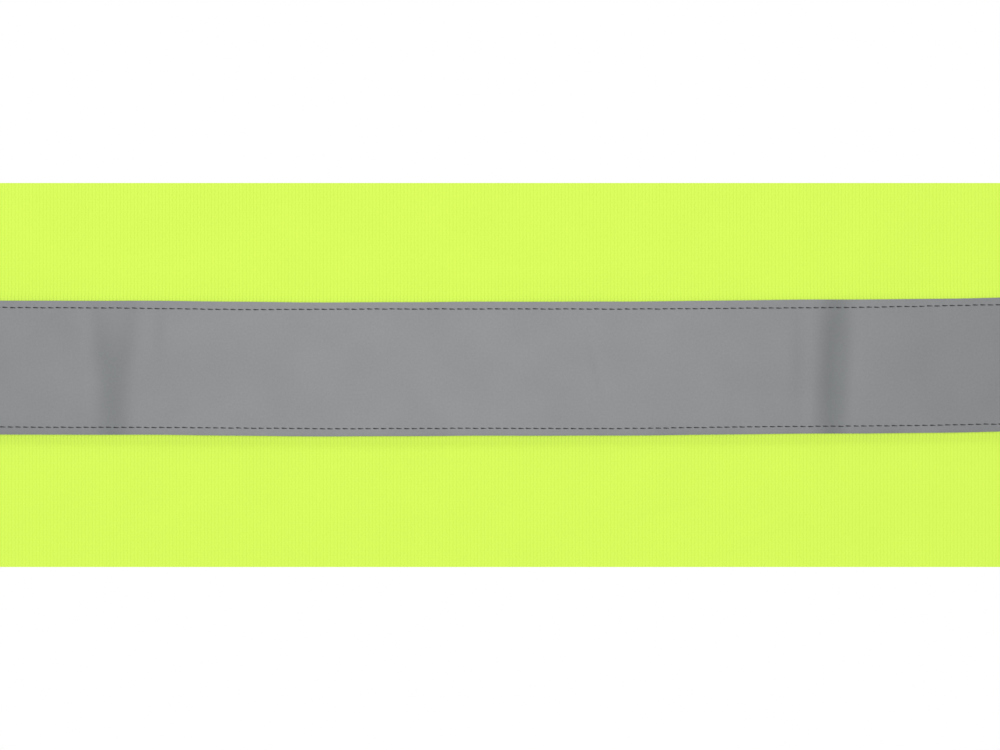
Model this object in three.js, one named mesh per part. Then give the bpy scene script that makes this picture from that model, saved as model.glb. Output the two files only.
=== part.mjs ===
// A short-sleeved high-visibility T-shirt laid flat, its front on its back, with one band of
// reflective tape sewn round the body. Millimetres: X runs across the shirt, +Y towards the
// neck and +Z up from the surface that it lies on.
import * as THREE from 'three';

// Walls and clearances.
const clothWall = 1;
const ribWall = 1.3;
const tapeWall = 1;
const seamGap = 0.3;
const hemTurnWall = 0.6; // what the turned-up layer of a hem adds to the wall
const hemStep = 3; // length of the step where that layer ends

// The body, with heights measured up from the bottom edge.
const shirtLength = 750; // bottom edge to the neck end of the shoulder seam
const hemHalfWidth = 278;
const waistHalfWidth = 275;
const chestHalfWidth = 280;
const armpitHeight = 495;
const shoulderHalfWidth = 245;
const shoulderDrop = 42;
const neckHalfWidth = 92;
const frontNeckDrop = 100;
const backNeckDrop = 22;
const hemDepth = 24;

// The ribbed neckband and the sleeves.
const ribWidth = 20;
const ribLean = 14; // how far the band goes in and up where it folds at the shoulder seam
const sleeveTopLength = 225;
const sleeveAngle = 30; // degrees below level
const cuffWidth = 180;
const sleeveHemDepth = 20;

// The reflective tape.
const tapeWidth = 50;
const tapeHeight = 330; // middle of the tape above the bottom edge
const tapeShoulder = 1; // the cloth stays level this far past the tape's edges
const tapeRamp = 9; // and comes down over this much more

// How finely the walls are divided.
const columnsPerSide = 14;
const neckColumns = 7; // of those columns, the ones that end at the neckline
const yokeRows = 8;
const sleeveColumns = 8;
const foldSteps = 4; // divisions of each half-round turned edge

// Soft folds that lift the upper layer off the lower one: the middle of each, its turn in
// degrees from the X axis, and its length, width and height.
const bodyFolds = [
  { x: 196, y: 470, turn: -38, length: 190, width: 66, height: 4 },
  { x: -205, y: 452, turn: 44, length: 160, width: 60, height: 3 },
  { x: 96, y: 50, turn: 84, length: 190, width: 84, height: 4.5 },
  { x: -158, y: 62, turn: 101, length: 150, width: 72, height: 3.5 },
  { x: -52, y: 168, turn: 17, length: 250, width: 64, height: 2.5 },
  { x: 58, y: 588, turn: -13, length: 230, width: 70, height: 3 },
  { x: -118, y: 600, turn: 58, length: 170, width: 62, height: 2.5 },
];
const sleeveFolds = [
  { x: 322, y: 570, turn: -62, length: 150, width: 56, height: 4 },
  { x: 384, y: 520, turn: -38, length: 120, width: 50, height: 3 },
];

const shoulderHeight = shirtLength - shoulderDrop;
const tapeHalf = tapeWidth / 2;
const armpit = new THREE.Vector2(chestHalfWidth, armpitHeight);
const shoulderPoint = new THREE.Vector2(shoulderHalfWidth, shoulderHeight);
const neckPoint = new THREE.Vector2(neckHalfWidth, shirtLength);

// The armhole from the armpit up to the shoulder, hollowed towards the body.
const armhole = new THREE.CubicBezierCurve(
  armpit,
  new THREE.Vector2(chestHalfWidth - 42, armpitHeight + 26),
  new THREE.Vector2(shoulderHalfWidth - 15, armpitHeight + 110),
  shoulderPoint,
);

// A neckline from the middle of the panel out to the shoulder seam.
function neckline(drop, lead, rise) {
  const bottom = shirtLength - drop;
  return new THREE.CubicBezierCurve(
    new THREE.Vector2(0, bottom),
    new THREE.Vector2(neckHalfWidth * lead, bottom),
    new THREE.Vector2(neckHalfWidth - rise.inset, bottom + drop * rise.share),
    neckPoint,
  );
}
const frontNeckline = neckline(frontNeckDrop, 0.6, { inset: 2, share: 0.45 });
const backNeckline = neckline(backNeckDrop, 0.5, { inset: 15, share: 0.3 });

// 0 below the first number, 1 above the second, and smooth between them.
function ease(from, to, value) {
  return THREE.MathUtils.smoothstep(value, from, to);
}

// 1 where the tape lies, falling to 0 at the foot of the ramp on each side of it.
function tapeRise(y) {
  const past = Math.abs(y - tapeHeight) - tapeHalf - tapeShoulder;
  return 1 - THREE.MathUtils.clamp(past / tapeRamp, 0, 1);
}

// The extra wall of a turned hem, ending in a short step.
function hemTurn(distanceFromEdge, depth) {
  return hemTurnWall * (1 - THREE.MathUtils.clamp((distanceFromEdge - depth) / hemStep, 0, 1));
}

// A rounded rise over a span: 1 at its middle and 0 from half the span outwards.
function swell(distance, span) {
  return Math.cos(Math.PI * Math.min(0.5, Math.abs(distance) / span)) ** 2;
}

// The lift of the upper layer at a point: each fold is a rounded ridge that dies out at its ends.
function foldLift(folds, x, y) {
  let lift = 0;
  for (const fold of folds) {
    const turn = THREE.MathUtils.degToRad(fold.turn);
    const along = (x - fold.x) * Math.cos(turn) + (y - fold.y) * Math.sin(turn);
    const across = (y - fold.y) * Math.cos(turn) - (x - fold.x) * Math.sin(turn);
    lift += fold.height * swell(along, fold.length) * swell(across, fold.width);
  }
  return lift;
}

// Half the body's width at a height below the armpit.
function halfWidth(y) {
  if (y < tapeHeight) {
    return THREE.MathUtils.lerp(hemHalfWidth, waistHalfWidth, ease(0, tapeHeight, y));
  }
  return THREE.MathUtils.lerp(waistHalfWidth, chestHalfWidth, ease(tapeHeight, armpitHeight, y));
}

// Joins strips of wall into one closed body. Each strip lists the points of its outer face and,
// one for one, the points of its inner face. The last strip meets the first where closes is true.
function wallBody(strips, closes) {
  const perFace = strips[0].outer.length;
  const perStrip = perFace * 2;
  const points = strips.flatMap((strip) => [...strip.outer, ...strip.inner.toReversed()]);
  const triangles = [];
  const quad = (a, b, c, d, otherDiagonal) => {
    if (otherDiagonal) triangles.push(a, b, d, b, c, d);
    else triangles.push(a, b, c, a, c, d);
  };
  const joins = closes ? strips.length : strips.length - 1;
  for (let k = 0; k < joins; k += 1) {
    const here = k * perStrip;
    const next = ((k + 1) % strips.length) * perStrip;
    for (let i = 0; i < perStrip; i += 1) {
      const j = (i + 1) % perStrip;
      quad(here + i, here + j, next + j, next + i, i >= perFace);
    }
  }
  if (!closes) {
    const last = (strips.length - 1) * perStrip;
    for (let i = 0; i < perFace - 1; i += 1) {
      const under = perStrip - 1 - i;
      quad(under, under - 1, i + 1, i, false);
      quad(last + i, last + i + 1, last + under - 1, last + under, false);
    }
  }
  const geometry = new THREE.BufferGeometry();
  const coordinates = points.flatMap((p) => p.toArray());
  geometry.setAttribute('position', new THREE.Float32BufferAttribute(coordinates, 3));
  geometry.setIndex(enclosedVolume(points, triangles) < 0 ? triangles.toReversed() : triangles);
  geometry.computeVertexNormals();
  return geometry;
}

// Six times the volume inside the triangles, negative when they face inwards.
function enclosedVolume(points, triangles) {
  let volume = 0;
  for (let i = 0; i < triangles.length; i += 3) {
    const [a, b, c] = [points[triangles[i]], points[triangles[i + 1]], points[triangles[i + 2]]];
    volume += a.dot(new THREE.Vector3().crossVectors(b, c));
  }
  return volume;
}

// The plan of a body panel: for each column from one side to the other, its points from the
// bottom edge up. Below the armpit the rows are level; above it they turn into the shoulder
// seams and the neckline, between the armholes.
function panelPlan(panelNeckline) {
  const rows = [
    0, hemDepth, hemDepth + hemStep, 75, 125, 175, 225, 265,
    tapeHeight - tapeHalf - tapeShoulder - tapeRamp, tapeHeight - tapeHalf - tapeShoulder, tapeHeight,
    tapeHeight + tapeHalf + tapeShoulder, tapeHeight + tapeHalf + tapeShoulder + tapeRamp,
    405, 450, armpitHeight,
  ];
  const plan = [];
  for (let column = -columnsPerSide; column <= columnsPerSide; column += 1) {
    const share = column / columnsPerSide;
    const side = Math.sign(column);
    const points = rows.map((y) => new THREE.Vector2(share * halfWidth(y), y));
    const base = points.at(-1);
    const top = panelTop(panelNeckline, Math.abs(column));
    top.x *= side;
    for (let row = 1; row <= yokeRows; row += 1) {
      const rise = row / yokeRows;
      const bow = armhole.getPoint(rise).sub(armpit.clone().lerp(shoulderPoint, rise));
      const pull = Math.abs(share) ** 3;
      const point = base.clone().lerp(top, rise);
      points.push(new THREE.Vector2(point.x + side * bow.x * pull, point.y + bow.y * pull));
    }
    plan.push(points);
  }
  return plan;
}

// Where a column counted from the middle meets the neckline or the shoulder seam.
function panelTop(panelNeckline, column) {
  if (column <= neckColumns) return panelNeckline.getPoint(column / neckColumns);
  return neckPoint.clone().lerp(shoulderPoint, (column - neckColumns) / (columnsPerSide - neckColumns));
}

// Heights of the faces of the layers that lie on each other, at a point of the body.
function backUnderside(y) {
  return (tapeWall + seamGap) * tapeRise(y);
}

function backTop(y) {
  return backUnderside(y) + clothWall + hemTurn(y, hemDepth);
}

// Folds die out towards the side seams, armholes, shoulders and neckline.
function frontUnderside(x, y) {
  const edgeX = y < armpitHeight ? halfWidth(y) : shoulderHalfWidth - 15;
  const fromSide = ease(0, 55, edgeX - Math.abs(x));
  const fromTop = ease(0, 70, shirtLength - frontNeckDrop + 0.45 * Math.abs(x) - y);
  return backTop(y) + seamGap + foldLift(bodyFolds, x, y) * fromSide * fromTop;
}

function frontTop(x, y) {
  return frontUnderside(x, y) + clothWall + hemTurn(y, hemDepth);
}

// Turns a plan into a wall between two heights that depend on the place.
function layer(plan, lowAt, highAt) {
  return wallBody(plan.map((column) => ({
    outer: column.map((p) => new THREE.Vector3(p.x, p.y, highAt(p.x, p.y))),
    inner: column.map((p) => new THREE.Vector3(p.x, p.y, lowAt(p.x, p.y))),
  })), false);
}

function frontPanel() {
  return layer(panelPlan(frontNeckline), frontUnderside, frontTop);
}

function backPanel() {
  return layer(panelPlan(backNeckline), (x, y) => backUnderside(y), (x, y) => backTop(y));
}

// The plan of the tape, on the panel's own columns, from one side seam to the other.
function tapePlan() {
  const heights = [tapeHeight - tapeHalf, tapeHeight, tapeHeight + tapeHalf];
  const plan = [];
  for (let column = -columnsPerSide; column <= columnsPerSide; column += 1) {
    plan.push(heights.map((y) => new THREE.Vector2((column / columnsPerSide) * halfWidth(y), y)));
  }
  return plan;
}

function frontTape() {
  const under = (x, y) => frontTop(x, y) + seamGap;
  return layer(tapePlan(), under, (x, y) => under(x, y) + tapeWall);
}

function backTape() {
  return layer(tapePlan(), () => 0, () => tapeWall);
}

// The points of a half-round turned edge, from the upper layer round to the lower one.
function turnedEdge(edge, outward, middle, radius) {
  const points = [];
  for (let step = 1; step < foldSteps; step += 1) {
    const angle = (Math.PI * step) / foldSteps;
    const reach = radius * Math.sin(angle);
    points.push(new THREE.Vector3(
      edge.x + outward.x * reach,
      edge.y + outward.y * reach,
      middle + radius * Math.cos(angle),
    ));
  }
  return points;
}

// One flattened sleeve: a tube open at the armhole and the cuff, turned at its top and
// underarm edges. side is 1 for the wearer's left and -1 for the right.
function sleeve(side) {
  const angle = THREE.MathUtils.degToRad(sleeveAngle);
  const cuffTop = shoulderPoint.clone().add(
    new THREE.Vector2(Math.cos(angle), -Math.sin(angle)).multiplyScalar(sleeveTopLength),
  );
  const cuffBottom = cuffTop.clone().add(
    new THREE.Vector2(-Math.sin(angle), -Math.cos(angle)).multiplyScalar(cuffWidth),
  );
  const hemStart = sleeveTopLength - sleeveHemDepth;
  const stations = [
    0, 0.14, 0.3, 0.46, 0.62, 0.78,
    (hemStart - hemStep) / sleeveTopLength, hemStart / sleeveTopLength, 1,
  ];
  const rings = stations.map((station) => sleeveRing(station, cuffTop, cuffBottom));
  const strips = rings[0].outer.map((_, k) => ({
    outer: rings.map((ring) => ring.outer[k].clone().multiply(new THREE.Vector3(side, 1, 1))),
    inner: rings.map((ring) => ring.inner[k].clone().multiply(new THREE.Vector3(side, 1, 1))),
  }));
  return wallBody(strips, true);
}

// The closed ring of a sleeve at a share of its length, as matching outer and inner points.
function sleeveRing(station, cuffTop, cuffBottom) {
  const wall = clothWall + hemTurn((1 - station) * sleeveTopLength, sleeveHemDepth);
  const thickness = 2 * wall + seamGap;
  const atAcross = (across) => {
    const seam = armhole.getPoint(1 - across);
    const tangent = armhole.getTangent(1 - across);
    seam.add(new THREE.Vector2(tangent.y, -tangent.x).multiplyScalar(seamGap));
    return seam.lerp(cuffTop.clone().lerp(cuffBottom, across), station);
  };
  const inset = thickness / 2 / cuffWidth;
  const row = [];
  for (let column = 0; column <= sleeveColumns; column += 1) {
    row.push(atAcross(THREE.MathUtils.lerp(inset, 1 - inset, column / sleeveColumns)));
  }
  const lift = row.map((p, column) => {
    const fromEdges = Math.sin((Math.PI * column) / sleeveColumns);
    const fromEnds = ease(0, 0.2, station) * ease(0, 0.2, 1 - station);
    return fromEdges * fromEnds * foldLift(sleeveFolds, p.x, p.y);
  });
  const topEdge = row[0].clone().sub(row[1]).normalize();
  const underEdge = row.at(-1).clone().sub(row.at(-2)).normalize();
  const face = (depth) => {
    const radius = thickness / 2 - depth;
    const upper = row.map((p, k) => new THREE.Vector3(p.x, p.y, thickness - depth + lift[k]));
    const lower = row.map((p) => new THREE.Vector3(p.x, p.y, depth));
    return [
      ...upper,
      ...turnedEdge(row.at(-1), underEdge, thickness / 2, radius),
      ...lower.reverse(),
      ...turnedEdge(row[0], topEdge, thickness / 2, radius).reverse(),
    ];
  };
  return { outer: face(0), inner: face(wall) };
}

// The ribbed neckband: one ring that follows the front neckline, turns at the shoulder seam,
// follows the back neckline behind it and turns again.
function neckRib() {
  const radius = (ribWall + seamGap) / 2;
  const backLevel = ribWall / 2;
  const frontLevel = backLevel + 2 * radius;
  const turnClearance = radius + ribWall / 2;
  const turnOuter = neckPoint.clone().add(new THREE.Vector2(-turnClearance, turnClearance));
  const turnInner = neckPoint.clone().add(new THREE.Vector2(-ribLean, ribLean));
  const outward = new THREE.Vector2(Math.SQRT1_2, Math.SQRT1_2);
  const halfLoop = [
    ...ribHalf(frontNeckline, frontNeckDrop, turnOuter, turnInner).map((pair) => (
      { ...pair, level: frontLevel, normal: new THREE.Vector3(0, 0, 1) }
    )),
    ...ribTurn(turnOuter, turnInner, outward, backLevel + radius, radius),
    ...ribHalf(backNeckline, backNeckDrop, turnOuter, turnInner).reverse().map((pair) => (
      { ...pair, level: backLevel, normal: new THREE.Vector3(0, 0, -1) }
    )),
  ];
  const mirrored = halfLoop.slice(1, -1).reverse().map((pair) => mirrorPair(pair));
  return wallBody([...halfLoop, ...mirrored].map((pair) => ribStrip(pair)), true);
}

// Half of the band along one neckline, as pairs of seam edge and free edge.
function ribHalf(panelNeckline, drop, turnOuter, turnInner) {
  const bottom = shirtLength - drop;
  const { v1: lead, v2: rise } = panelNeckline;
  const outer = new THREE.CubicBezierCurve(
    new THREE.Vector2(0, bottom + seamGap),
    new THREE.Vector2(lead.x, lead.y + seamGap),
    new THREE.Vector2(rise.x - seamGap, rise.y + seamGap),
    turnOuter,
  );
  const inner = new THREE.CubicBezierCurve(
    new THREE.Vector2(0, bottom + ribWidth),
    new THREE.Vector2(lead.x * 0.86, bottom + ribWidth),
    new THREE.Vector2(rise.x - ribLean, rise.y + ribWidth * 0.8),
    turnInner,
  );
  const pairs = [];
  for (let step = 0; step <= neckColumns; step += 1) {
    pairs.push({ seam: outer.getPoint(step / neckColumns), free: inner.getPoint(step / neckColumns) });
  }
  return pairs;
}

// The half-round turn of the band at the shoulder seam, between its front and its back.
function ribTurn(turnOuter, turnInner, outward, middle, radius) {
  const pairs = [];
  for (let step = 1; step < foldSteps; step += 1) {
    const angle = (Math.PI * step) / foldSteps;
    const shift = outward.clone().multiplyScalar(radius * Math.sin(angle));
    pairs.push({
      seam: turnOuter.clone().add(shift),
      free: turnInner.clone().add(shift),
      level: middle + radius * Math.cos(angle),
      normal: new THREE.Vector3(outward.x * Math.sin(angle), outward.y * Math.sin(angle), Math.cos(angle)),
    });
  }
  return pairs;
}

function mirrorPair({ seam, free, level, normal }) {
  const flip = (p) => new THREE.Vector2(-p.x, p.y);
  const turned = new THREE.Vector3(-normal.x, normal.y, normal.z);
  return { seam: flip(seam), free: flip(free), level, normal: turned };
}

// One cut across the band, half its wall to each side of its middle surface.
function ribStrip({ seam, free, level, normal }) {
  const offset = normal.clone().multiplyScalar(ribWall / 2);
  const middle = [seam, free].map((p) => new THREE.Vector3(p.x, p.y, level));
  return {
    outer: middle.map((p) => p.clone().add(offset)),
    inner: middle.map((p) => p.clone().sub(offset)),
  };
}

const knit = { color: 0xd8fa5a, roughness: 0.85, metalness: 0 };
const rib = { color: 0xd3f556, roughness: 0.9, metalness: 0 };
const reflective = { color: 0x939597, roughness: 0.45, metalness: 0.2 };

function piece(name, geometry, finish) {
  const mesh = new THREE.Mesh(geometry, new THREE.MeshStandardMaterial(finish));
  mesh.name = name;
  return mesh;
}

const shirt = new THREE.Group();
shirt.add(
  piece('back', backPanel(), knit),
  piece('front', frontPanel(), knit),
  piece('sleeve_left', sleeve(1), knit),
  piece('sleeve_right', sleeve(-1), knit),
  piece('neck_rib', neckRib(), rib),
  piece('tape_back', backTape(), reflective),
  piece('tape_front', frontTape(), reflective),
);
// The origin is under the middle of the shirt's outline.
shirt.position.y = -(shirtLength + ribLean) / 2;

export default shirt;
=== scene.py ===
import math
import bpy
import numpy as np
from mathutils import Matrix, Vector


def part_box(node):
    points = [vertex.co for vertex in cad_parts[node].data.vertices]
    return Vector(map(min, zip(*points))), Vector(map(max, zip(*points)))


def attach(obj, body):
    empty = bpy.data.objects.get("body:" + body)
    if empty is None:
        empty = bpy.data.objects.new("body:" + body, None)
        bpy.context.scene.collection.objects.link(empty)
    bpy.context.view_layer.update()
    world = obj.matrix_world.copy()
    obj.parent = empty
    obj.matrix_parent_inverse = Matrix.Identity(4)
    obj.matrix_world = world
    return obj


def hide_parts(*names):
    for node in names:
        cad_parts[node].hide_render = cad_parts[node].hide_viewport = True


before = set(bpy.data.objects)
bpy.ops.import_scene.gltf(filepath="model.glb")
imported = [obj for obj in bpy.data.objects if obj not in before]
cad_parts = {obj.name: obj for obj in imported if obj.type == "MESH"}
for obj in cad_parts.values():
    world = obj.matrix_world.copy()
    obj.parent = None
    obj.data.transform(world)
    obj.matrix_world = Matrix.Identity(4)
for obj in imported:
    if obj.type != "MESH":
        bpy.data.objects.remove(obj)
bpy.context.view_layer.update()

mm = 0.001
frontLow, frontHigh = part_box("front")
tapeLow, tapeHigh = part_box("tape_front")
hemY = frontLow.y
tapeMid = (tapeLow.y + tapeHigh.y) / 2 / mm - hemY / mm

# The cut in millimetres, with heights measured up from the bottom edge.
cut = {
    "length": (frontHigh.y - frontLow.y) / mm,
    "hemHalf": 278, "waistHalf": 275, "chestHalf": frontHigh.x / mm, "armpit": 495,
    "shoulderHalf": 245, "shoulderDrop": 42, "neckHalf": 92, "frontNeckDrop": 100, "backNeckDrop": 22,
    "hemDepth": 24, "ribWidth": 20, "ribLean": 14,
    "sleeveLength": 225, "sleeveAngle": 30, "cuffWidth": 180, "sleeveHem": 20,
    "tapeWidth": (tapeHigh.y - tapeLow.y) / mm,
}
# Heights of the layers above the surface, and the real walls, in millimetres.
layers = {"cloth": 0.6, "tape": 0.3, "frontTop": 2.2, "seamTop": 1.3, "tapeStep": 1.2, "tapeRamp": 4.5}
# The crease that the shirt kept from its packing: heights of the cross folds and half the board's width.
packing = {"board": 136, "cross": (212, 486), "width": 13, "cloth": 0.2}
# What a panel grid's shares stand for in millimetres, from middle to side and from chest to shoulder.
span = {"neckShare": 0.5, "side": 265, "yoke": 215, "clear": 999}
tapeCurve = {"rise": 3.4e-5, "lowest": -30}

# Soft ridges (height above 0) and troughs (below 0) of the upper layer, in millimetres.
creases = [
    # x, y, turn, length, width, height
    (196, 470, -38, 190, 54, 4.8), (-205, 458, 44, 150, 48, 4.0), (96, 60, 84, 190, 58, 4.9),
    (-158, 72, 101, 150, 52, 4.2), (-52, 158, 17, 250, 46, 3.2), (58, 588, -13, 230, 50, 3.9),
    (-118, 600, 58, 170, 44, 3.4), (150, 430, -46, 120, 24, 0.9), (-170, 430, 38, 130, 20, 0.8),
    (-228, 180, 74, 150, 30, 1.9), (222, 222, 98, 130, 26, 1.6), (20, 96, 72, 130, 26, -1.1),
    (128, 148, 36, 150, 24, 1.6), (-80, 520, -24, 120, 24, 1.5), (152, 560, 66, 130, 24, 1.6),
    (0, 622, 4, 90, 20, 1.1), (-24, 44, 112, 80, 22, 1.2), (190, 110, 124, 110, 24, 1.5),
    (-200, 330, 8, 60, 16, 0.3), (226, 352, -12, 70, 16, 0.3),
    # beside the tape
    (-98, 367, 22, 56, 22, 0.28), (17, 363, 2, 78, 11, 0.22), (137, 361, 80, 24, 15, 0.22),
    (-52, 376, -18, 56, 5, 0.09), (-30, 300, 1, 180, 5, -0.14), (-122, 295, -20, 24, 8, 0.16),
    (-152, 278, 45, 34, 8, -0.16), (-118, 272, 32, 44, 8, 0.2), (104, 268, 20, 66, 9, 0.2),
    (74, 276, 16, 46, 7, -0.14), (127, 287, 86, 30, 7, 0.14), (190, 384, -60, 60, 18, 0.3),
]
# The tape is stiffer, so it keeps sharper creases.
tapeCreases = [
    (-135.9, 322, 90, 104, 20, -0.22), (-141.5, 344, 95, 52, 11, -0.08), (-129.5, 344, 85, 52, 11, -0.08),
    (135.4, 330, 87, 130, 19, -0.3), (-118, 345, 88, 34, 8, -0.06), (121.5, 332, 90, 80, 9, -0.05),
    (45, 330, -75, 34, 3.5, -0.07), (240, 330, 88, 90, 14, -0.2), (-236, 330, 93, 90, 15, -0.2),
]
sleeveCreases = [
    (322, 570, -62, 150, 56, 3.4), (384, 520, -38, 120, 50, 2.6), (300, 610, -48, 110, 22, 0.9),
    (350, 560, -24, 90, 18, 0.8), (286, 530, 30, 70, 18, 0.7),
]


def smooth(low, high, value):
    t = np.clip((value - low) / (high - low), 0, 1)
    return t * t * (3 - 2 * t)


def swell(distance, width):
    return np.cos(np.pi * np.minimum(0.5, np.abs(distance) / width)) ** 2


def creaseLift(table, x, y, bend=0.12):
    lift = np.zeros_like(x)
    for cx, cy, turn, length, width, height in table:
        a = math.radians(turn)
        along = (x - cx) * math.cos(a) + (y - cy) * math.sin(a)
        across = (y - cy) * math.cos(a) - (x - cx) * math.sin(a)
        sway = width * bend * np.sin(along / length * 5 + cx)
        lift += height * swell(along, length) * swell(across + sway, width)
    return lift


# Gentle unevenness of slack cloth: a few waves of differing length and direction.
def slack(x, y, seed, size, height):
    waves, waveCount = np.random.RandomState(seed), 14
    shortest, longest = 0.6, 1.9
    total = np.zeros_like(x)
    for _ in range(waveCount):
        a, phase = waves.uniform(0, math.tau, 2)
        length = size * waves.uniform(shortest, longest)
        total += np.sin((x * math.cos(a) + y * math.sin(a)) * math.tau / length + phase)
    return height * total / math.sqrt(waveCount)


# The tape bows a little: it is lowest left of the middle and its ends ride up.
def tapeBow(x):
    return tapeCurve["rise"] * (x - tapeCurve["lowest"]) ** 2


# How far a point lies outside the tape's nearer edge, negative on the tape.
def pastTape(x, y):
    return np.abs(y - tapeBow(x) - tapeMid) - cut["tapeWidth"] / 2


def halfWidth(y):
    low = cut["hemHalf"] + (cut["waistHalf"] - cut["hemHalf"]) * smooth(0, tapeMid, y)
    high = cut["waistHalf"] + (cut["chestHalf"] - cut["waistHalf"]) * smooth(tapeMid, cut["armpit"], y)
    return np.where(y < tapeMid, low, high)


def bezier(points, t):
    a, b, c, d = (np.array(p, float) for p in points)
    t = np.asarray(t, float)[..., None]
    return (1 - t) ** 3 * a + 3 * t * (1 - t) ** 2 * b + 3 * t ** 2 * (1 - t) * c + t ** 3 * d


shoulder = (cut["shoulderHalf"], cut["length"] - cut["shoulderDrop"])
neckEnd = (cut["neckHalf"], cut["length"])
armholeCurve = [
    (cut["chestHalf"], cut["armpit"]), (cut["chestHalf"] - 42, cut["armpit"] + 26),
    (cut["shoulderHalf"] - 15, cut["armpit"] + 110), shoulder,
]


def neckCurve(drop, lead, inset, share):
    low = cut["length"] - drop
    return [(0, low), (cut["neckHalf"] * lead, low), (cut["neckHalf"] - inset, low + drop * share), neckEnd]


frontNeck = neckCurve(cut["frontNeckDrop"], 0.6, 2, 0.45)
backNeck = neckCurve(cut["backNeckDrop"], 0.5, 15, 0.3)


# The plan of a body panel as x and y over a grid, with distances from its side and top edges.
def bodyPlan(neck, columns, rows, yokeRows):
    u = np.linspace(-1, 1, columns * 2 + 1)
    y = np.array(rows)
    lowX = u[:, None] * halfWidth(y)[None, :]
    lowY = np.repeat(y[None, :], len(u), 0)
    s = np.abs(u)
    neckShare = span["neckShare"]
    alongNeck = bezier(neck, np.clip(s / neckShare, 0, 1))
    alongShoulder = np.clip((s - neckShare) / (1 - neckShare), 0, 1)[:, None]
    seam = np.array(neckEnd) * (1 - alongShoulder) + np.array(shoulder) * alongShoulder
    top = np.where((s <= neckShare)[:, None], alongNeck, seam)
    t = np.linspace(0, 1, yokeRows + 1)[1:]
    straight = np.array(armholeCurve[0]) * (1 - t[:, None]) + np.array(shoulder) * t[:, None]
    hollow = bezier(armholeCurve, t) - straight
    base = np.stack([s * cut["chestHalf"], np.full_like(s, cut["armpit"])], 1)
    yoke = base[:, None] * (1 - t[None, :, None]) + top[:, None] * t[None, :, None]
    yoke = yoke + hollow[None] * (s ** 3)[:, None, None]
    x = np.concatenate([lowX, yoke[..., 0] * np.sign(u)[:, None]], 1)
    yy = np.concatenate([lowY, yoke[..., 1]], 1)
    fromSide = np.repeat(((1 - s) * span["side"])[:, None], x.shape[1], 1)
    yokeTop = (1 - t)[None, :] * np.full_like(yoke[..., 0], span["yoke"])
    fromTop = np.concatenate([np.full_like(lowX, span["clear"]), yokeTop], 1)
    return x, yy, fromSide, fromTop


# Joins an upper and a lower grid of points into one thin closed wall, with its plan as UVs in metres.
def thinWall(name, upper, lower, plan, wraps=False):
    nu, nv = upper.shape[:2]
    points = np.concatenate([upper.reshape(-1, 3), lower.reshape(-1, 3)]) * mm
    points[:, 1] += hemY
    index = np.arange(nu * nv).reshape(nu, nv)
    if wraps:
        index = np.vstack([index, index[:1]])
    a, b = index[:-1, :-1].ravel(), index[1:, :-1].ravel()
    c, d = index[1:, 1:].ravel(), index[:-1, 1:].ravel()
    count = nu * nv
    faces = [np.stack([a, b, c, d], 1), np.stack([d, c, b, a], 1) + count]
    rims = [(index[:, 0], True), (index[:, -1], False)]
    if not wraps:
        rims += [(index[0, :], False), (index[-1, :], True)]
    for line, forward in rims:
        p, q = (line[:-1], line[1:]) if forward else (line[1:], line[:-1])
        faces.append(np.stack([q, p, p + count, q + count], 1))
    faces = np.concatenate(faces)
    mesh = bpy.data.meshes.new(name)
    mesh.from_pydata(points.tolist(), [], faces.tolist())
    uv = np.concatenate([plan.reshape(-1, 2)] * 2) * mm
    layer = mesh.uv_layers.new(name="clothPlan")
    layer.data.foreach_set("uv", uv[faces.ravel()].astype(np.float32).ravel())
    mesh.polygons.foreach_set("use_smooth", [True] * len(faces))
    mesh.set_sharp_from_angle(angle=math.radians(50))
    piece = bpy.data.objects.new(name, mesh)
    bpy.context.scene.collection.objects.link(piece)
    return piece


# Marks on each point how much painted shade its material lays there: beside the tape on the cloth, and
# along the tape's creases.
def mark(piece, name, amount):
    values = np.concatenate([amount.ravel()] * 2).astype(np.float32)
    piece.data.attributes.new(name, "FLOAT", "POINT").data.foreach_set("value", values)
    return piece


def place(piece, finish, slotName, *nodes):
    piece.data.materials.append(finish)
    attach(piece, "root")
    if nodes:
        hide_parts(*nodes)
    return piece


# Materials

def linear(code):
    channels = [int(code[i:i + 2], 16) / 255 for i in (1, 3, 5)]
    return [c / 12.92 if c <= 0.04045 else ((c + 0.055) / 1.055) ** 2.4 for c in channels] + [1]


def addNode(tree, kind, settings={}, links={}):
    node = tree.nodes.new(kind)
    for key, value in settings.items():
        if isinstance(key, int) or key in node.inputs:
            node.inputs[key].default_value = value
        else:
            setattr(node, key, value)
    for key, source in links.items():
        tree.links.new(source, node.inputs[key])
    return node


def newMaterial(name):
    material = bpy.data.materials.new(name)
    material.use_nodes = True
    material.node_tree.nodes.clear()
    return material, material.node_tree


def finishMaterial(tree, surface):
    addNode(tree, "ShaderNodeOutputMaterial", {}, {"Surface": surface.outputs[0]})


# The flat plan of a piece, which its UVs give in metres, as a texture place in millimetres.
def planInMm(tree):
    plan = addNode(tree, "ShaderNodeUVMap", {"uv_map": "clothPlan"})
    scale = {"operation": "SCALE", "Scale": 1 / mm}
    return addNode(tree, "ShaderNodeVectorMath", scale, {0: plan.outputs[0]})


# Multiplies a colour by a tint, as far as the share goes.
def tinted(tree, colour, tint, share):
    settings = {"data_type": "RGBA", "blend_type": "MULTIPLY", 7: tint}
    return addNode(tree, "ShaderNodeMix", settings, {0: share, 6: colour}).outputs[2]


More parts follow.
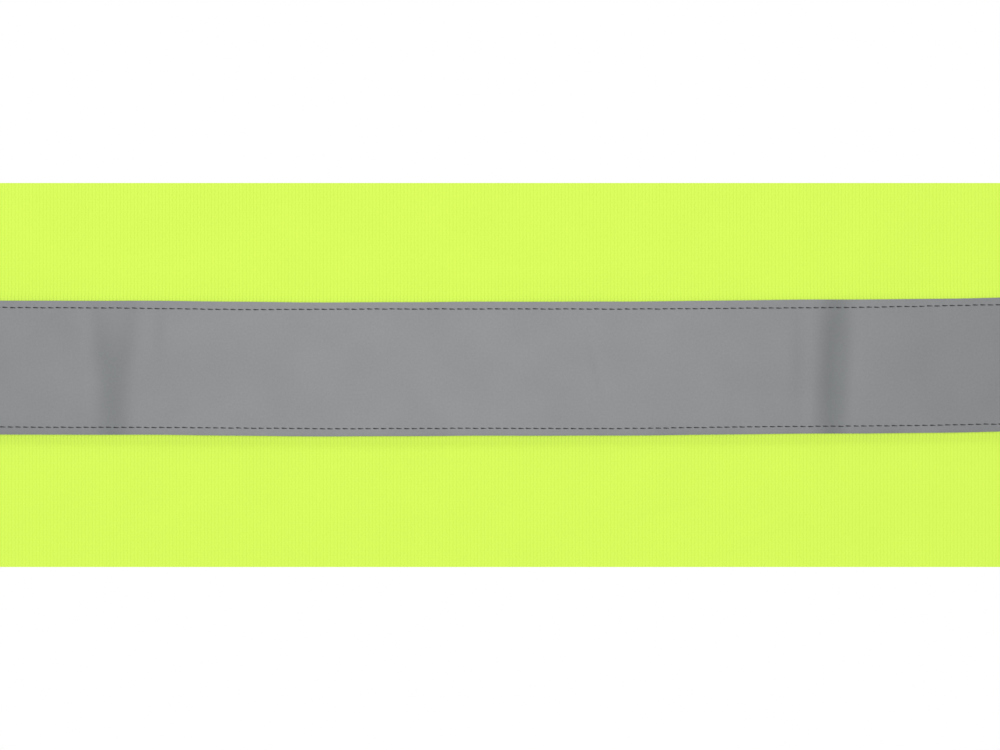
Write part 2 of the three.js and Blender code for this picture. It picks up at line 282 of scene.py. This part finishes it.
# Knit polyester, fluorescent yellow: matt, with upright wales and staggered eyelet stitches between them.
def knitPolyester(name, look):
    material, tree = newMaterial(name)
    inMm = planInMm(tree)
    # turned a quarter so that the brick courses run up the cloth as wales
    quarter = {"Rotation": (0, 0, math.pi / 2)}
    turned = addNode(tree, "ShaderNodeMapping", quarter, {"Vector": inMm.outputs[0]})
    eyelets = addNode(tree, "ShaderNodeTexBrick", {
        "offset": 0.5, "Scale": 1, "Mortar Size": look["groove"], "Mortar Smooth": 1,
        "Brick Width": look["stitchLength"], "Row Height": look["wale"] / 2,
        "Color1": (1, 1, 1, 1), "Color2": (1, 1, 1, 1), "Mortar": (0, 0, 0, 1),
    }, {"Vector": turned.outputs[0]})
    # a wave texture's bands are pi / 10 apart at scale 1
    wales = addNode(tree, "ShaderNodeTexWave", {
        "wave_type": "BANDS", "bands_direction": "X", "Scale": math.pi / 10 / look["wale"],
        "Distortion": 0.6, "Detail": 1, "Detail Scale": 0.6,
    }, {"Vector": inMm.outputs[0]})
    relief = addNode(tree, "ShaderNodeMix", {"data_type": "FLOAT", 0: look["eyeletShare"]},
                     {2: wales.outputs["Fac"], 3: eyelets.outputs["Color"]})
    patches = addNode(tree, "ShaderNodeTexNoise", {"Scale": 0.045, "Detail": 3},
                      {"Vector": inMm.outputs[0]})
    # painted shade: the grooves between wales and eyelets take a darker colour
    grooveShadedYarn = addNode(tree, "ShaderNodeMix", {"data_type": "RGBA", 6: linear(look["groove shade colour"]),
                                           7: linear(look["colour"])}, {0: relief.outputs[0]})
    shade = tinted(tree, grooveShadedYarn.outputs[2], (0.965, 0.965, 0.95, 1), patches.outputs["Fac"])
    # painted shade: along the tape's edges the knit is coloured darker, most in its grooves
    tapeEdgeShade = addNode(tree, "ShaderNodeAttribute", {"attribute_name": "tapeEdgeShade"})
    hollow = addNode(tree, "ShaderNodeMath", {"operation": "SUBTRACT", 0: 1.25}, {1: relief.outputs[0]})
    edgeShadeShare = addNode(tree, "ShaderNodeMath", {"operation": "MULTIPLY"},
                      {0: tapeEdgeShade.outputs["Fac"], 1: hollow.outputs[0]})
    edgeShaded = tinted(tree, shade, look["tapeEdgeShade"], edgeShadeShare.outputs[0])
    bump = addNode(tree, "ShaderNodeBump", {"Strength": look["bump"], "Distance": 0.0002},
                   {"Height": relief.outputs[0]})
    cloth = addNode(tree, "ShaderNodeBsdfPrincipled", {
        "Roughness": 0.82, "IOR": 1.45, "Specular IOR Level": 0.25,
        "Sheen Weight": 0.08, "Sheen Roughness": 0.5,
    }, {"Base Color": edgeShaded, "Normal": bump.outputs[0]})
    finishMaterial(tree, cloth)
    return material


# Glass-bead tape: an aluminised bead coat on woven backing, a soft grey that dulls where it tilts.
def beadTape(look):
    material, tree = newMaterial("glass bead tape")
    inMm = planInMm(tree)
    beads = addNode(tree, "ShaderNodeTexNoise", {"Scale": 1.1, "Detail": 2, "Roughness": 0.7},
                    {"Vector": inMm.outputs[0]})
    clouds = addNode(tree, "ShaderNodeTexNoise", {"Scale": 0.05, "Detail": 3}, {"Vector": inMm.outputs[0]})
    both = addNode(tree, "ShaderNodeMix", {"data_type": "FLOAT", 0: 0.4},
                   {2: beads.outputs["Fac"], 3: clouds.outputs["Fac"]})
    greys = {"data_type": "RGBA", 6: linear(look["dark"]), 7: linear(look["light"])}
    grey = addNode(tree, "ShaderNodeMix", greys, {0: both.outputs[0]})
    # painted shade: the coat is tinted darker along the tape's creases, by how deep they lie
    creaseShade = addNode(tree, "ShaderNodeAttribute", {"attribute_name": "creaseShade"})
    creaseShaded = tinted(tree, grey.outputs[2], look["creaseShade"], creaseShade.outputs["Fac"])
    bump = addNode(tree, "ShaderNodeBump", {"Strength": 0.1, "Distance": 0.0001},
                   {"Height": beads.outputs["Fac"]})
    coat = addNode(tree, "ShaderNodeBsdfPrincipled", {
        "Metallic": look["metallic"], "Roughness": look["roughness"],
    }, {"Base Color": creaseShaded, "Normal": bump.outputs[0]})
    finishMaterial(tree, coat)
    return material


# Spun polyester thread: fine twisted plies.
def sewingThread(name, colour):
    material, tree = newMaterial(name)
    coords = addNode(tree, "ShaderNodeTexCoord")
    plies = addNode(tree, "ShaderNodeTexNoise", {"Scale": 1500, "Detail": 1},
                    {"Vector": coords.outputs["Object"]})
    tones = {"data_type": "RGBA", 6: linear(colour[0]), 7: linear(colour[1])}
    twist = addNode(tree, "ShaderNodeMix", tones, {0: plies.outputs["Fac"]})
    thread = addNode(tree, "ShaderNodeBsdfPrincipled", {"Roughness": 0.6, "Specular IOR Level": 0.3},
                     {"Base Color": twist.outputs[2]})
    finishMaterial(tree, thread)
    return material


# the groove colour and the tint beside the tape are painted shade
knitLook = {"colour": "#dcfd5c", "groove shade colour": "#d2f551", "wale": 1.31, "stitchLength": 1.9,
            "groove": 0.16, "eyeletShare": 0.5, "bump": 0.45, "tapeEdgeShade": (0.8, 0.83, 0.9, 1)}
ribLook = dict(knitLook, wale=2.0, stitchLength=60, groove=0.3, bump=0.5)
# the crease tint is painted shade along the tape's creases
tapeLook = {"dark": "#67696c", "light": "#7c7d7d", "metallic": 0.45, "roughness": 0.42,
            "creaseShade": (0.78, 0.8, 0.8, 1), "creaseDepth": 0.24}
knit = knitPolyester("knit polyester birdseye", knitLook)
ribKnit = knitPolyester("knit polyester rib", ribLook)
tapeCoat = beadTape(tapeLook)
greyThread = sewingThread("spun polyester thread grey", ("#29292b", "#3e3e41"))
yellowThread = sewingThread("spun polyester thread yellow", ("#cdee4e", "#dcfb62"))
print("materials made")


# Heights

def tapeStep(x, y):
    return layers["tapeStep"] * (1 - smooth(0, layers["tapeRamp"], pastTape(x, y) - 0.2))


def packingLift(x, y, height):
    lift = height * swell(np.abs(x) - packing["board"], packing["width"])
    for level in packing["cross"]:
        lift = lift + height * swell(y - level, packing["width"])
    return lift


# Small puckers where the tape's stitching gathers the knit.
def pucker(x, y):
    past, fadeOver = pastTape(x, y), 7
    reach = np.exp(-np.clip(past, 0, None) / fadeOver) * smooth(-4, 1, past)
    broad, fine = slack(x, y * 0.15, 5, 26, 0.07), slack(x, y * 0.1, 8, 9, 0.02)
    return reach * (broad + fine)


# What shapes the upper layer in millimetres: how wide its fades are, and how much is left of a crease.
upperLayer = {
    "edgeFade": 40, "tapeHold": 0.75, "tapeReach": 1.6, "tapeFade": 6, "tapeLead": 4, "clothOnTape": 0.9,
    "tapeOnCloth": 0.35, "sideRoll": 6, "topRoll": 5, "hemLift": 0.35, "hemDip": 0.15, "hemDipWidth": 6,
}


def hemHeight(y):
    turned = 1 - smooth(cut["hemDepth"] - 1, cut["hemDepth"] + 1.5, y)
    dip = swell(y - cut["hemDepth"] + 2.5, upperLayer["hemDipWidth"])
    return upperLayer["hemLift"] * turned - upperLayer["hemDip"] * dip


def frontHeight(x, y, fromSide, fromTop):
    look = upperLayer
    slackness = slack(x, y, 3, 75, 0.10) + slack(x, y, 4, 30, 0.035)
    lift = creaseLift(creases, x, y) + slackness
    edge = smooth(0, look["edgeFade"], fromSide) * smooth(0, look["edgeFade"], fromTop)
    calm = 1 - look["tapeHold"] * swell(y - tapeMid, cut["tapeWidth"] * look["tapeReach"])
    # crossing the tape the creases are the tape's own
    onTape = 1 - smooth(0, look["tapeFade"], pastTape(x, y) + look["tapeLead"])
    tapeShare = look["tapeOnCloth"] + (1 - look["tapeOnCloth"]) * onTape
    lift = lift * calm * (1 - look["clothOnTape"] * onTape) + creaseLift(tapeCreases, x, y, 0) * tapeShare
    packed = packingLift(x, y, -packing["cloth"]) * (1 - onTape)
    top = layers["frontTop"] + tapeStep(x, y) + packed + pucker(x, y)
    seam = layers["seamTop"] + 0.5 * tapeStep(x, y)
    roll = smooth(0, look["sideRoll"], fromSide) * smooth(0, look["topRoll"], fromTop)
    return seam + (top - seam + lift * edge) * roll + hemHeight(y)


# The front's rows lie closest near the tape, where its puckers are.
frontGrid = {"columns": 90, "yokeRows": 56, "step": 4, "fineStep": 1.25, "fineReach": 76}
backGrid = {"columns": 60, "yokeRows": 40, "step": 6}
firstRows = [0, 0.6, 1.5]
# how the painted shade beside the tape fades, how strong it is, how uneven, and its share above and below
tapeEdgeShading = {"fadeOver": 3.2, "share": 0.8, "unevenness": 0.2, "above": 0.85, "below": 1.0}


def frontRows():
    fineLow, fineHigh = tapeMid - frontGrid["fineReach"], tapeMid + frontGrid["fineReach"]
    rows = firstRows + list(np.arange(4, fineLow, frontGrid["step"]))
    rows += list(np.arange(fineLow, fineHigh, frontGrid["fineStep"]))
    rows += list(np.arange(fineHigh, cut["armpit"], frontGrid["step"]))
    return sorted(set(rows + [cut["armpit"]]))


def makeFront():
    x, y, side, top = bodyPlan(frontNeck, frontGrid["columns"], frontRows(), frontGrid["yokeRows"])
    upper = frontHeight(x, y, side, top)
    thick = np.where(y < cut["hemDepth"], layers["cloth"] * 1.7, layers["cloth"])
    plan = np.stack([x, y], -1)
    # painted shade beside the tape: strongest at its edges, fading outwards, a little uneven along it
    nearTape = np.exp(-np.clip(pastTape(x, y), 0, None) / tapeEdgeShading["fadeOver"])
    tapeEdgeShade = nearTape * (tapeEdgeShading["share"] + slack(x, 0 * y, 17, 60, tapeEdgeShading["unevenness"]))
    piece = thinWall("shirt_front", np.dstack([x, y, upper]), np.dstack([x, y, upper - thick]), plan)
    return mark(piece, "tapeEdgeShade", np.where(y > tapeMid, tapeEdgeShading["above"], tapeEdgeShading["below"]) * tapeEdgeShade)


# The back lies on the floor and rides over its own tape.
def makeBack():
    rows = sorted(set(firstRows + list(np.arange(4, cut["armpit"], backGrid["step"])) + [cut["armpit"]]))
    x, y, _, _ = bodyPlan(backNeck, backGrid["columns"], rows, backGrid["yokeRows"])
    lower = 0.4 * (1 - smooth(0.5, 6, np.abs(y - tapeMid) - cut["tapeWidth"] / 2))
    upper = lower + layers["cloth"] + np.where(y < cut["hemDepth"], 0.3, 0)
    plan = np.stack([x, y], -1)
    return thinWall("shirt_back", np.dstack([x, y, upper]), np.dstack([x, y, lower]), plan)


front = place(makeFront(), knit, "knit", "front")
back = place(makeBack(), knit, "knit", "back")
print("body panels made")


# A closed sleeve tube, flattened: the upper layer, the turned underarm edge, the lower layer and the
# turned top edge.
sleeveSize = {"across": 52, "along": 62, "turns": 6, "height": 2.2, "span": 200, "girth": 190,
              "edgeFade": 34, "armholeFade": 40, "cuffFade": 36, "fill": 0.5, "seamFade": 6, "hemLift": 0.3}
sleeveTops = {}


def makeSleeve(name, side):
    a = math.radians(cut["sleeveAngle"])
    cuffTop = np.array(shoulder) + cut["sleeveLength"] * np.array([math.cos(a), -math.sin(a)])
    cuffLow = cuffTop + cut["cuffWidth"] * np.array([-math.sin(a), -math.cos(a)])
    radius = sleeveSize["height"] / 2
    inset = radius / cut["cuffWidth"]
    across = np.linspace(inset, 1 - inset, sleeveSize["across"])
    along = np.linspace(0, 1, sleeveSize["along"])
    seam = bezier(armholeCurve, 1 - across) + np.array([0.15, 0.12])
    cuff = cuffTop * (1 - across[:, None]) + cuffLow * across[:, None]
    row = seam[:, None] * (1 - along[None, :, None]) + cuff[:, None] * along[None, :, None]
    x, y = row[..., 0], row[..., 1]
    fromArmhole = along[None] * sleeveSize["span"] + 0 * x
    fromCuff = (1 - along)[None] * cut["sleeveLength"] + 0 * x
    fromEdge = np.minimum(across, 1 - across)[:, None] * sleeveSize["girth"] + 0 * x
    fade = smooth(0, sleeveSize["edgeFade"], fromEdge) * smooth(0, sleeveSize["armholeFade"], fromArmhole)
    fade = fade * smooth(0, sleeveSize["cuffFade"], fromCuff)
    folds = creaseLift(sleeveCreases, x, y) + slack(x, y, 11 + side, 60, 0.12)
    lift = (folds + sleeveSize["fill"]) * fade
    atSeam = 1 - smooth(0, sleeveSize["seamFade"], fromArmhole)
    seamDip = (sleeveSize["height"] - layers["seamTop"]) * atSeam
    hem = sleeveSize["hemLift"] * (1 - smooth(cut["sleeveHem"] - 1, cut["sleeveHem"] + 1.5, fromCuff))
    top = sleeveSize["height"] + lift - seamDip + hem

    def face(depth):
        r = radius - depth
        rings = [np.dstack([x, y, top - depth])]
        for edge, inner, rising in ((-1, -2, False), (0, 1, True)):
            out = row[edge] - row[inner]
            out = out / np.linalg.norm(out, axis=-1, keepdims=True)
            mid, tall = top[edge] / 2, top[edge] / 2 - depth
            arc = []
            for k in range(1, sleeveSize["turns"]):
                angle = math.pi * k / sleeveSize["turns"]
                p = row[edge] + out * r * math.sin(angle)
                arc.append(np.concatenate([p, (mid + tall * math.cos(angle))[:, None]], 1))
            arc = np.array(arc)
            if rising:
                rings.append(arc[::-1])
            else:
                rings.append(arc)
                rings.append(np.dstack([x, y, np.full_like(x, depth)])[::-1])
        return np.concatenate(rings)

    outer, inner = face(0), face(layers["cloth"])
    count = outer.shape[0]
    girth = np.linspace(0, 2 * cut["cuffWidth"], count)
    plan = np.stack([np.repeat(girth[:, None], len(along), 1),
                     np.repeat(along[None] * cut["sleeveLength"], count, 0)], -1)
    outer[..., 0] *= side
    inner[..., 0] *= side
    sleeveTops[side] = np.dstack([x * side, y, top])
    if side < 0:
        return thinWall(name, outer[::-1], inner[::-1], plan[::-1], wraps=True)
    return thinWall(name, outer, inner, plan, wraps=True)


sleeveLeft = place(makeSleeve("sleeve_left_cloth", 1), knit, "knit", "sleeve_left")
sleeveRight = place(makeSleeve("sleeve_right_cloth", -1), knit, "knit", "sleeve_right")
print("sleeves made")


# The neckband: a doubled rib strip that runs round the front neckline, turns at the shoulder and comes
# back behind.
band = {"steps": 260, "across": 11, "wall": 1.2, "ribs": 2.0, "relief": 0.14, "gap": 0.3, "turns": 8}


def bandHalf(neck, drop, steps):
    turnOut = np.array(neckEnd) + np.array([-1.4, 1.4])
    turnIn = np.array(neckEnd) + np.array([-cut["ribLean"], cut["ribLean"]])
    low = cut["length"] - drop
    outer = [(0, low + 0.2), (neck[1][0], low + 0.2), (neck[2][0] - 0.3, neck[2][1] + 0.3), turnOut]
    inner = [(0, low + cut["ribWidth"]), (neck[1][0] * 0.86, low + cut["ribWidth"]),
             (neck[2][0] - cut["ribLean"], neck[2][1] + cut["ribWidth"] * 0.8), turnIn]
    t = np.linspace(0, 1, steps)
    return bezier(outer, t), bezier(inner, t)


def makeBand():
    radius = (band["wall"] + band["gap"]) / 2
    lowLevel = band["wall"] / 2 + 0.05
    fo, fi = bandHalf(frontNeck, cut["frontNeckDrop"], band["steps"])
    bo, bi = bandHalf(backNeck, cut["backNeckDrop"], band["steps"] // 2)
    stations = [(o, i, lowLevel + 2 * radius, (0, 0, 1)) for o, i in zip(fo, fi)]
    out = np.array([math.sqrt(0.5), math.sqrt(0.5)])
    for a in [math.pi * k / band["turns"] for k in range(1, band["turns"])]:
        shift = out * radius * math.sin(a)
        height = lowLevel + radius + radius * math.cos(a)
        facing = (out[0] * math.sin(a), out[1] * math.sin(a), math.cos(a))
        stations.append((fo[-1] + shift, fi[-1] + shift, height, facing))
    stations += [(o, i, lowLevel, (0, 0, -1)) for o, i in zip(bo[::-1], bi[::-1])]
    seam, free, level, normal = (np.array(column, float) for column in zip(*stations))
    flip = np.array([-1, 1])
    seam = np.concatenate([seam, (seam * flip)[-2:0:-1]])
    free = np.concatenate([free, (free * flip)[-2:0:-1]])
    level = np.concatenate([level, level[-2:0:-1]])
    normal = np.concatenate([normal, (normal * np.array([-1, 1, 1]))[-2:0:-1]])
    middle = (seam + free) / 2
    run = np.concatenate([[0], np.cumsum(np.linalg.norm(np.diff(middle, axis=0), axis=1))])
    w = np.linspace(0, 1, band["across"])
    across = seam[:, None] * (1 - w[None, :, None]) + free[:, None] * w[None, :, None]
    # rounded at the folded free edge, pressed flat at the seam
    half = band["wall"] / 2 * np.sqrt(np.clip(1 - np.clip((w - 0.9) / 0.1, 0, 1) ** 2 * 0.8, 0, 1))
    half = half * (0.55 + 0.45 * smooth(0, 0.16, w))
    ribs = band["relief"] * (np.cos(run * math.tau / band["ribs"]) - 1) / 2
    halfAll = half[None] + ribs[:, None] * smooth(0, 0.12, w)[None]
    centre = np.concatenate([across, np.repeat(level[:, None, None], len(w), 1)], -1)
    upper = centre + normal[:, None] * halfAll[..., None]
    lower = centre - normal[:, None] * halfAll[..., None]
    rise = np.repeat(w[None] * cut["ribWidth"], len(run), 0)
    plan = np.stack([np.repeat(run[:, None], len(w), 1), rise], -1)
    made = thinWall("neckband", upper[::-1], lower[::-1], plan[::-1], wraps=True)
    return made, run[-1]


bandPiece, bandLength = makeBand()
place(bandPiece, ribKnit, "rib", "neck_rib")
print("neckband made")


# The tape, made from the panel's own heights and moved out.
tapeRaise = 0.08


def tapeGrid(columns, rows):
    u = np.linspace(-1, 1, columns * 2 + 1)
    v = np.linspace(-0.5, 0.5, rows + 1)
    x = np.repeat((u * (cut["waistHalf"] - 0.2))[:, None], len(v), 1)
    y = tapeMid + tapeBow(x) + v[None] * cut["tapeWidth"]
    edgeWaver = slack(x, 0 * x, 21, 60, 0.12)
    return x, y + edgeWaver


def tapeTopHeight(x, y):
    side = cut["waistHalf"] - np.abs(x)
    return frontHeight(x, y, side, np.full_like(x, span["clear"])) + tapeRaise + layers["tape"]


def makeTapeFront():
    x, y = tapeGrid(190, 34)
    top = tapeTopHeight(x, y)
    edge = np.abs(y - tapeMid - tapeBow(x)) > cut["tapeWidth"] / 2 - 0.3
    top = top - np.where(edge, 0.06, 0)
    plan = np.stack([x, y], -1)
    # painted shade: how deep each point lies in a tape crease sets how far its darker tint goes
    creaseShade = np.clip(-creaseLift(tapeCreases, x, y, 0) / tapeLook["creaseDepth"], 0, 1)
    under = np.dstack([x, y, top - layers["tape"]])
    piece = thinWall("tape_front_strip", np.dstack([x, y, top]), under, plan)
    return mark(piece, "creaseShade", creaseShade)


def makeTapeBack():
    x, y = tapeGrid(90, 10)
    y = y - tapeBow(x)
    plan = np.stack([x, y], -1)
    flat = np.zeros_like(x)
    return thinWall("tape_back_strip", np.dstack([x, y, flat + 0.34]), np.dstack([x, y, flat + 0.04]), plan)


tapeFront = place(makeTapeFront(), tapeCoat, "tape", "tape_front")
tapeBack = place(makeTapeBack(), tapeCoat, "tape", "tape_back")
print("tapes made")


# Stitches: each is a short bent thread that dives into the cloth at both ends. All of a row join one mesh.
def stitchMesh(name, rows, look, finish, slotName):
    points, faces = [], []
    sides, cuts = 6, look["cuts"]
    for start, end, up in rows:
        start, end, up = Vector(start), Vector(end), Vector(up).normalized()
        along = (end - start).normalized()
        across = along.cross(up).normalized()
        base = len(points)
        for k in range(cuts + 1):
            t = k / cuts
            centre = start.lerp(end, t) + up * (look["stand"] * math.sin(math.pi * t) ** 0.5 - look["sink"])
            thick = look["radius"] * (0.35 + 0.65 * max(0, math.sin(math.pi * t ** look["skew"])) ** 0.7)
            for s in range(sides):
                angle = math.tau * s / sides
                points.append(centre + (across * math.cos(angle) + up * math.sin(angle)) * thick)
        for k in range(cuts):
            for s in range(sides):
                p, q = base + k * sides + s, base + k * sides + (s + 1) % sides
                faces.append((p, q, q + sides, p + sides))
        faces.append(tuple(base + s for s in range(sides))[::-1])
        faces.append(tuple(base + cuts * sides + s for s in range(sides)))
    mesh = bpy.data.meshes.new(name)
    mesh.from_pydata([(p.x * mm, p.y * mm + hemY, p.z * mm) for p in points], [], faces)
    mesh.polygons.foreach_set("use_smooth", [True] * len(faces))
    piece = bpy.data.objects.new(name, mesh)
    bpy.context.scene.collection.objects.link(piece)
    return place(piece, finish, slotName)


tapeStitch = {"pitch": 2.84, "share": 0.8, "inset": 2.75, "radius": 0.23, "stand": 0.14, "sink": 0.08,
              "skew": 0.35, "cuts": 6}


def tapeStitchRows():
    rows = []
    waver = np.random.RandomState(31)
    for edge in (1, -1):
        x = -cut["waistHalf"] + 1.5 + (0.9 if edge > 0 else 0)
        while x < cut["waistHalf"] - 3:
            ends = np.array([x, x + tapeStitch["pitch"] * tapeStitch["share"]])
            drift = slack(ends, 0 * ends, 41 + edge, 120, 0.16) + waver.uniform(-0.06, 0.06)
            y = tapeMid + tapeBow(ends) + edge * (cut["tapeWidth"] / 2 - tapeStitch["inset"]) + drift
            y = y + np.array([0.05, -0.05])
            z = tapeTopHeight(ends, y)
            rows.append(((ends[0], y[0], z[0]), (ends[1], y[1], z[1]), (0, 0, 1)))
            x += tapeStitch["pitch"] * waver.uniform(0.97, 1.03)
    return rows


tapeStitches = stitchMesh("tape_stitches", tapeStitchRows(), tapeStitch, greyThread, "tape")

hemStitch = {"pitch": 2.6, "share": 0.85, "radius": 0.2, "stand": 0.14, "sink": 0.06, "cuts": 4,
             "skew": 1, "firstRow": 1.5, "secondRow": 7.5, "cuffSecondRow": 8,
             "neckRows": (2.2, 7.0), "neckCount": 110}


def frontStitchRows():
    rows = []
    for level in (cut["hemDepth"] - hemStitch["firstRow"], cut["hemDepth"] - hemStitch["secondRow"]):
        half = float(halfWidth(np.array(level))) - 3
        for x in np.arange(-half, half - hemStitch["pitch"], hemStitch["pitch"]):
            ends = np.array([x, x + hemStitch["pitch"] * hemStitch["share"]])
            y = np.array([level, level])
            z = frontHeight(ends, y, halfWidth(y) - np.abs(ends), y * 0 + span["clear"])
            rows.append(((ends[0], y[0], z[0]), (ends[1], y[1], z[1]), (0, 0, 1)))
    # two rows just outside the neck seam
    for inset in hemStitch["neckRows"]:
        t = np.linspace(-0.97, 0.97, hemStitch["neckCount"])
        curve = bezier(frontNeck, np.abs(t)) * np.stack([np.sign(t), np.ones_like(t)], 1)
        tangent = np.gradient(curve, axis=0)
        tangent /= np.linalg.norm(tangent, axis=1, keepdims=True)
        curve = curve + np.stack([tangent[:, 1], -tangent[:, 0]], 1) * inset
        z = frontHeight(curve[:, 0], curve[:, 1], 200 + 0 * t, inset + 0 * t)
        for k in range(len(t) - 1):
            a, b = curve[k], curve[k] + (curve[k + 1] - curve[k]) * hemStitch["share"]
            rows.append(((a[0], a[1], z[k]), (b[0], b[1], z[k] * 0.2 + z[k + 1] * 0.8), (0, 0, 1)))
    return rows


def cuffStitchRows(top):
    rows = []
    for level in (cut["sleeveHem"] - hemStitch["firstRow"], cut["sleeveHem"] - hemStitch["cuffSecondRow"]):
        column = round((1 - level / cut["sleeveLength"]) * (sleeveSize["along"] - 1))
        line = top[:, column]
        run = np.concatenate([[0], np.cumsum(np.linalg.norm(np.diff(line, axis=0), axis=1))])
        for at in np.arange(1, run[-1] - hemStitch["pitch"], hemStitch["pitch"]):
            ends = np.array([at, at + hemStitch["pitch"] * hemStitch["share"]])
            spots = np.stack([np.interp(ends, run, line[:, i]) for i in range(3)], 1)
            rows.append((spots[0], spots[1], (0, 0, 1)))
    return rows


hemStitches = stitchMesh("hem_stitches", frontStitchRows(), hemStitch, yellowThread, "knit")
for side, name in ((1, "cuff_stitches_left"), (-1, "cuff_stitches_right")):
    stitchMesh(name, cuffStitchRows(sleeveTops[side]), hemStitch, yellowThread, "knit")
print("stitches made")


# Floor, light and camera

def card(name, corners, material):
    mesh = bpy.data.meshes.new(name)
    mesh.from_pydata(corners, [], [(0, 1, 2, 3)])
    piece = bpy.data.objects.new(name, mesh)
    piece.data.materials.append(material)
    bpy.context.scene.collection.objects.link(piece)
    return piece


def paleFloor():
    material, tree = newMaterial("matt white board")
    board = addNode(tree, "ShaderNodeBsdfPrincipled", {"Base Color": linear("#f4f4f4"), "Roughness": 0.9})
    finishMaterial(tree, board)
    return material


def whiteMat():
    material, tree = newMaterial("white window mat")
    glow = addNode(tree, "ShaderNodeEmission", {"Color": (1, 1, 1, 1), "Strength": 1})
    finishMaterial(tree, glow)
    return material


reach = 6
floor = card("floor", [(-reach, -reach, -0.0002), (reach, -reach, -0.0002), (reach, reach, -0.0002),
                       (-reach, reach, -0.0002)], paleFloor())

view = {"lens": 100, "sensor": 36, "frameWidth": 373.4, "windowHeight": 143.4, "across": 9.7, "below": 2.2,
        "matGap": 3.5}
surfaceZ = (layers["frontTop"] + layers["tapeStep"] + layers["tape"]) * mm
distance = view["frameWidth"] * mm * view["lens"] / view["sensor"]
cameraData = bpy.data.cameras.new("camera")
cameraData.lens, cameraData.sensor_width = view["lens"], view["sensor"]
cameraData.clip_start, cameraData.clip_end = 0.001, 50
camera = bpy.data.objects.new("camera", cameraData)
camera.location = (view["across"] * mm, hemY + (tapeMid - view["below"]) * mm, surfaceZ + distance)
bpy.context.scene.collection.objects.link(camera)
bpy.context.scene.camera = camera

# A white mat with a long window lies close under the lens and frames the strip of cloth.
matZ = camera.location.z - view["matGap"] * mm
shrink = view["matGap"] * mm / distance
halfWindow = view["windowHeight"] / 2 * mm * shrink
matReach = view["frameWidth"] * mm * shrink
cx, cy = camera.location.x, camera.location.y
for name, near, far in (("mat_upper", halfWindow, matReach), ("mat_lower", -matReach, -halfWindow)):
    mat = card(name, [(cx - matReach, cy + near, matZ), (cx + matReach, cy + near, matZ),
                      (cx + matReach, cy + far, matZ), (cx - matReach, cy + far, matZ)], whiteMat())
    mat.visible_diffuse = mat.visible_glossy = mat.visible_transmission = mat.visible_shadow = False

lights = [
    # name, place, size, power
    ("overhead", (-0.06, 0.1, 1.5), 1.1, 10.2),
    ("window", (-0.2, 2.2, 1.5), 1.4, 7),
]
for name, spot, size, power in lights:
    data = bpy.data.lights.new(name, "AREA")
    data.size, data.energy = size, power
    lamp = bpy.data.objects.new(name, data)
    lamp.location = spot
    lamp.rotation_euler = (Vector((0, 0, 0)) - Vector(spot)).to_track_quat("-Z", "Y").to_euler()
    bpy.context.scene.collection.objects.link(lamp)

world = bpy.data.worlds.new("studio")
bpy.context.scene.world = world
world.use_nodes = True
world.node_tree.nodes.clear()
rays = addNode(world.node_tree, "ShaderNodeLightPath")
seen = addNode(world.node_tree, "ShaderNodeMath", {"operation": "MAXIMUM"},
               {0: rays.outputs["Is Camera Ray"], 1: rays.outputs["Is Transmission Ray"]})
strength = addNode(world.node_tree, "ShaderNodeMix", {"data_type": "FLOAT", 2: 0.62, 3: 1.0},
                   {0: seen.outputs[0]})
sky = addNode(world.node_tree, "ShaderNodeBackground", {"Color": (1, 1, 1, 1)},
              {"Strength": strength.outputs[0]})
addNode(world.node_tree, "ShaderNodeOutputWorld", {}, {"Surface": sky.outputs[0]})

bpy.context.scene.view_settings.view_transform = "Standard"
print("camera and light made")
